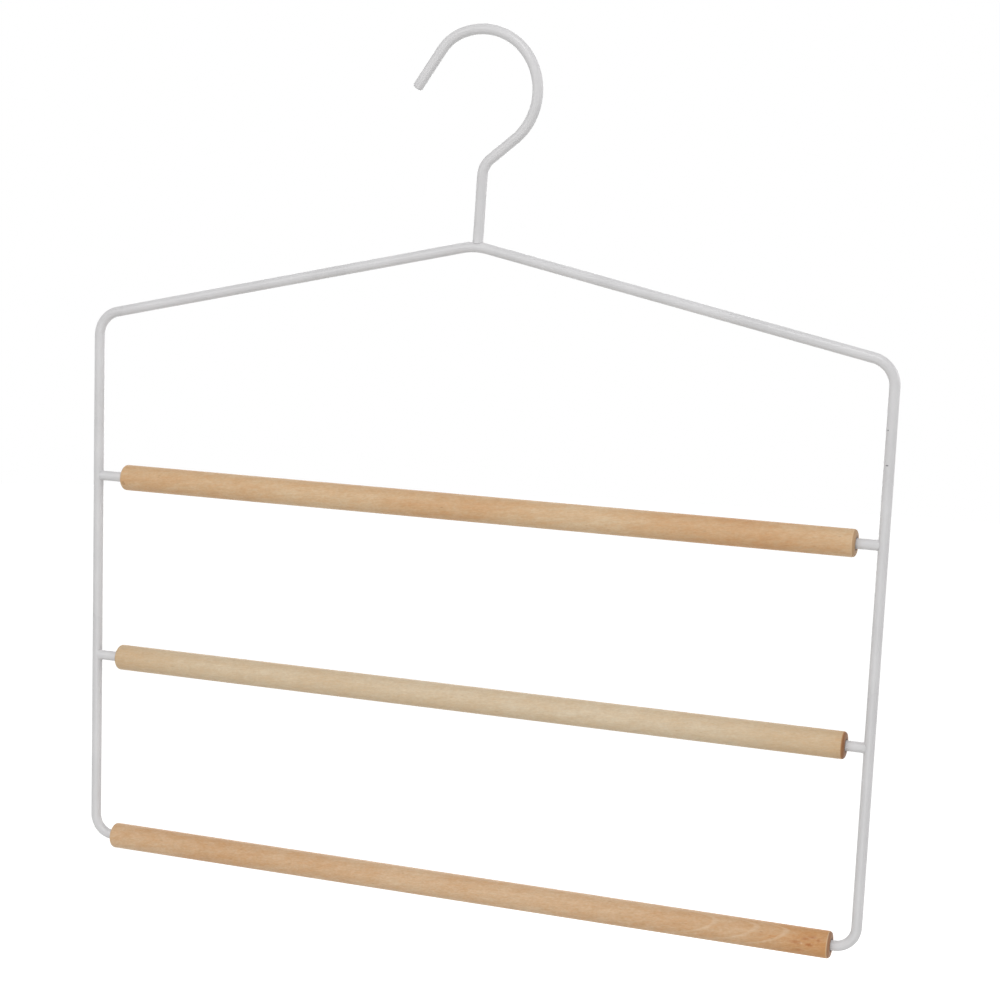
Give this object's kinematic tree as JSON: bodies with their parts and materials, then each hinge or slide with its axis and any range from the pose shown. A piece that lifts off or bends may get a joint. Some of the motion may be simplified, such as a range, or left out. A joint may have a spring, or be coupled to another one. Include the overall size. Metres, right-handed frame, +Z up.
{
  "type": "tiered trouser hanger",
  "caption": "Wire-framed trouser hanger with an open hook and tiers of turning wooden bars that folded trousers hang over.",
  "frame": {"origin": "where a rail bears on the inside of the hook's crown", "axes": "+Z up, +X to the right with the hook opening towards -X, +Y away from the viewer, across the frame's plane"},
  "size_m": [0.4, 0.0126, 0.4148],
  "materials": {
    "painted_steel": "satin powder coat, light grey",
    "upper_wood": "sanded and satin lacquered, warm tan",
    "middle_wood": "sanded and satin lacquered, pale tan",
    "lower_wood": "sanded and satin lacquered, orange tan"
  },
  "bodies": {
    "frame": {"frame_wire": "painted_steel", "hook": "painted_steel", "upper_left_peg": "painted_steel", "upper_right_peg": "painted_steel", "middle_left_peg": "painted_steel", "middle_right_peg": "painted_steel"},
    "upper_roller": {"upper_bar": "upper_wood"},
    "middle_roller": {"middle_bar": "middle_wood"},
    "lower_roller": {"lower_bar": "lower_wood"}
  },
  "joints": [
    {"name": "upper_bar_spin", "type": "hinge", "parent": "frame", "child": "upper_roller", "pos_m": [0, 0, -0.21744], "axis": [1, 0, 0], "continuous": true},
    {"name": "middle_bar_spin", "type": "hinge", "parent": "frame", "child": "middle_roller", "pos_m": [0, 0, -0.30944], "axis": [1, 0, 0], "continuous": true},
    {"name": "lower_bar_spin", "type": "hinge", "parent": "frame", "child": "lower_roller", "pos_m": [0, 0, -0.40344], "axis": [1, 0, 0], "continuous": true}
  ]
}
